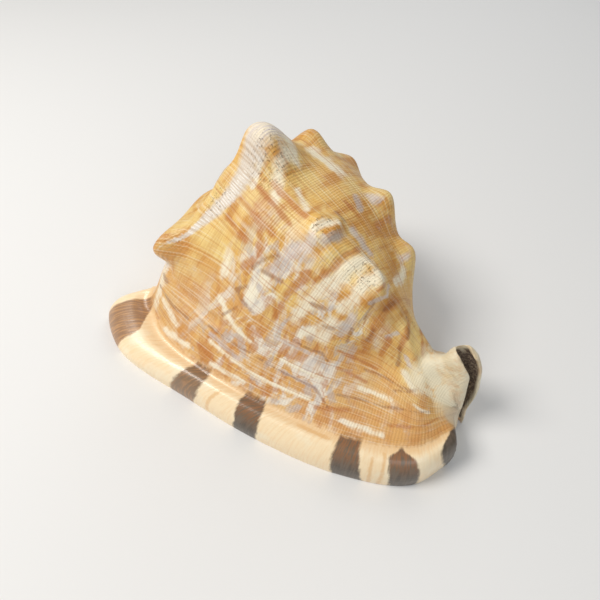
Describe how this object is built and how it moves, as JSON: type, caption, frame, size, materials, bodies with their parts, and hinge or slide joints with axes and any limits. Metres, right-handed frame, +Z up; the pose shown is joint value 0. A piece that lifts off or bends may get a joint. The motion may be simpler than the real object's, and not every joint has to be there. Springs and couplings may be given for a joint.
{
  "type": "helmet shell",
  "caption": "Large helmet shell lying on its mouth: a heavy body whorl with shoulder horns, a banded rolled lip, a narrow toothed mouth and an upturned canal",
  "frame": {"origin": "on the ground under the middle of the shell's bounding box, the shell lying on its mouth", "axes": "+X along the coil axis from the spire to the upturned canal, +Y away from the banded lip, +Z up"},
  "size_m": [0.2023, 0.1844, 0.1179],
  "materials": {
    "shell_ochre": "satin natural shell, glossier on the lip"
  },
  "bodies": {
    "root": {"helmet_shell": "shell_ochre"}
  },
  "joints": []
}
